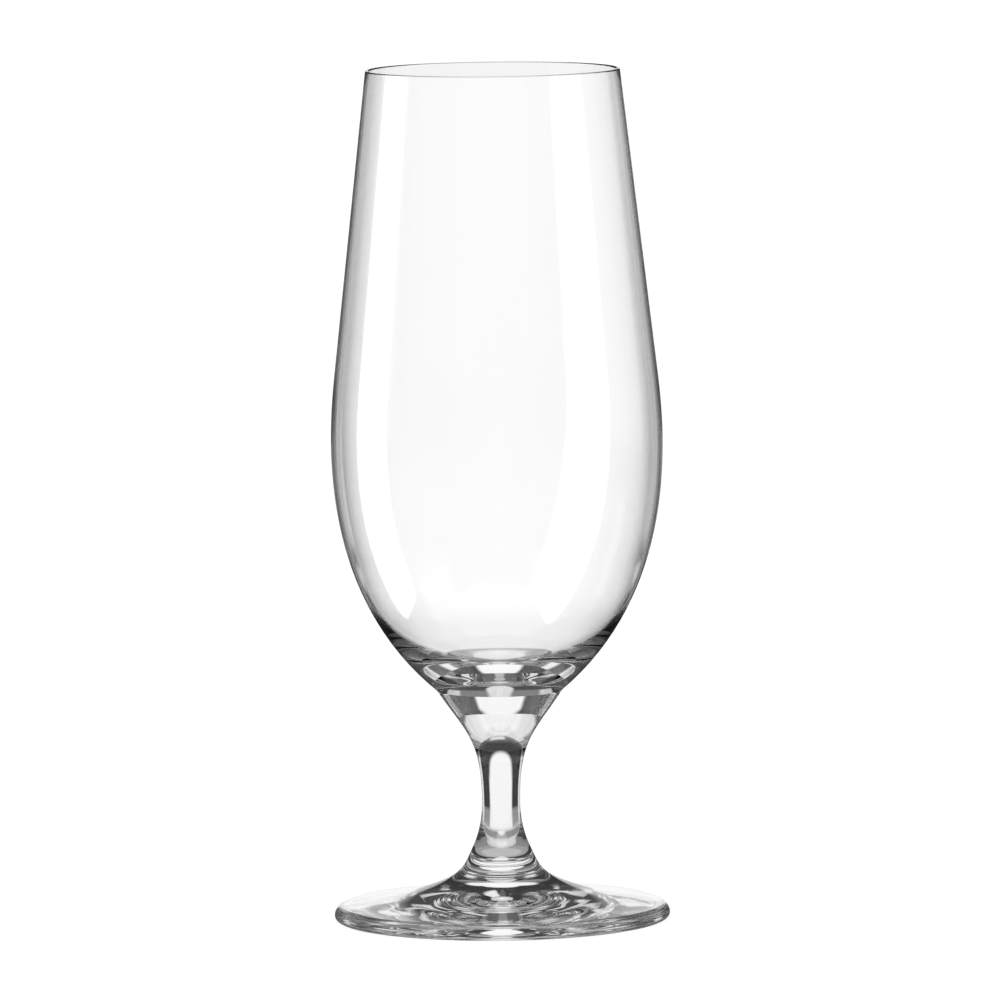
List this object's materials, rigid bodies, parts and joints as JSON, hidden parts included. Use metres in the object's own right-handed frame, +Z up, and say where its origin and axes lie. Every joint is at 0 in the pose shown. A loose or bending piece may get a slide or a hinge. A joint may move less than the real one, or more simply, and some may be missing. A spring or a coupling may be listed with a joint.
{
  "type": "stemmed pilsner glass",
  "caption": "Clear stemmed pilsner glass: tapered bowl narrowing to a thin rounded rim, thick base, short waisted stem and a round hollowed foot.",
  "frame": {"origin": "on the glass's axis, in the plane that the foot rests on", "axes": "+Z up the axis from the foot to the rim; X and Y are any two level directions, because the glass is round"},
  "size_m": [0.073, 0.073, 0.185],
  "materials": {
    "bowl_glass": "fire-polished clear colourless glass",
    "stem_glass": "pressed and fire-polished clear colourless glass",
    "foot_glass": "spun clear colourless glass with faint rings"
  },
  "bodies": {
    "root": {"bowl": "bowl_glass", "stem": "stem_glass", "foot": "foot_glass"}
  },
  "joints": []
}
